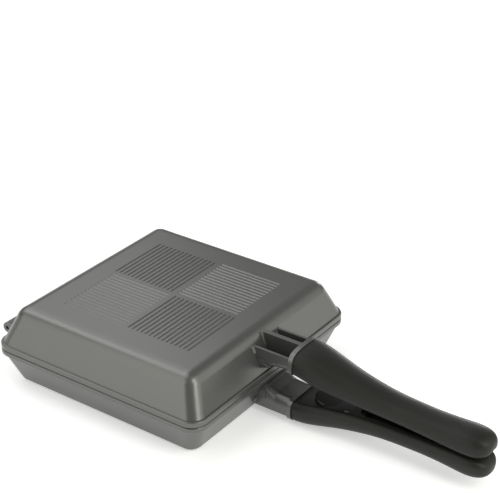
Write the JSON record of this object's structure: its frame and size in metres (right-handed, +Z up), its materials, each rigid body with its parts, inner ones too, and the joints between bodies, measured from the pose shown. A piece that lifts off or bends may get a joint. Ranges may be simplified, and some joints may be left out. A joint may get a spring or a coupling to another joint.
{
  "type": "double sided flip pan",
  "caption": "Square cast double sided pan: a divided grill half and a plain half hinged rim to rim, each with a pull-off handle held by a push-button catch.",
  "frame": {"origin": "middle of the lower pan's flat base, on the surface it stands on", "axes": "+X along the hinge, -Y towards the handles, +Z up"},
  "size_m": [0.21, 0.4129, 0.0665],
  "materials": {
    "pan_coating": "satin dark grey non-stick coating on cast aluminium",
    "grip_plastic": "matte black heat-resistant moulded plastic",
    "cover_plastic": "matte black moulded plastic",
    "button_plastic": "satin black moulded plastic",
    "steel": "plain zinc-plated steel",
    "spring_steel": "bright spring steel",
    "magnet_plating": "nickel plated"
  },
  "bodies": {
    "lower_pan": {"lower_divided_pan": "pan_coating"},
    "hinge_pins": {"left_hinge_pin": "steel", "right_hinge_pin": "steel"},
    "upper_pan": {"upper_plain_pan": "pan_coating"},
    "lower_handle": {"lower_grip": "grip_plastic", "lower_grip_cover": "cover_plastic", "lower_guide_plate": "steel", "lower_catch_leaf": "spring_steel", "lower_catch_screw": "steel", "lower_cover_screws": "steel", "lower_button_spring": "spring_steel", "lower_handle_magnet": "magnet_plating"},
    "lower_button": {"lower_release_button": "button_plastic"},
    "upper_handle": {"upper_grip": "grip_plastic", "upper_grip_cover": "cover_plastic", "upper_guide_plate": "steel", "upper_catch_leaf": "spring_steel", "upper_catch_screw": "steel", "upper_cover_screws": "steel", "upper_button_spring": "spring_steel", "upper_handle_magnet": "magnet_plating"},
    "upper_button": {"upper_release_button": "button_plastic"}
  },
  "joints": [
    {"name": "pan_hinge", "type": "hinge", "parent": "lower_pan", "child": "hinge_pins", "pos_m": [0, 0.11565, 0.0315], "axis": [-1, 0, 0], "range_deg": [0, 180]},
    {"name": "pan_lift_off", "type": "slide", "parent": "hinge_pins", "child": "upper_pan", "axis": [-1, 0, 0], "range_m": [0, 0.014]},
    {"name": "lower_handle_pull_off", "type": "slide", "parent": "lower_pan", "child": "lower_handle", "axis": [0, -0.9995, -0.0318], "range_m": [0, 0.045]},
    {"name": "lower_button_press", "type": "slide", "parent": "lower_handle", "child": "lower_button", "axis": [0, 0.0318, -0.9995], "range_m": [0, 0.0016], "stiffness_N_per_m": 1500, "springref_m": -0.002, "deforming": ["lower_button_spring", "lower_catch_leaf"]},
    {"name": "upper_handle_pull_off", "type": "slide", "parent": "upper_pan", "child": "upper_handle", "axis": [0, -0.9996, -0.0283], "range_m": [0, 0.045]},
    {"name": "upper_button_press", "type": "slide", "parent": "upper_handle", "child": "upper_button", "axis": [0, -0.0283, 0.9996], "range_m": [0, 0.0016], "stiffness_N_per_m": 1500, "springref_m": -0.002, "deforming": ["upper_button_spring", "upper_catch_leaf"]}
  ]
}
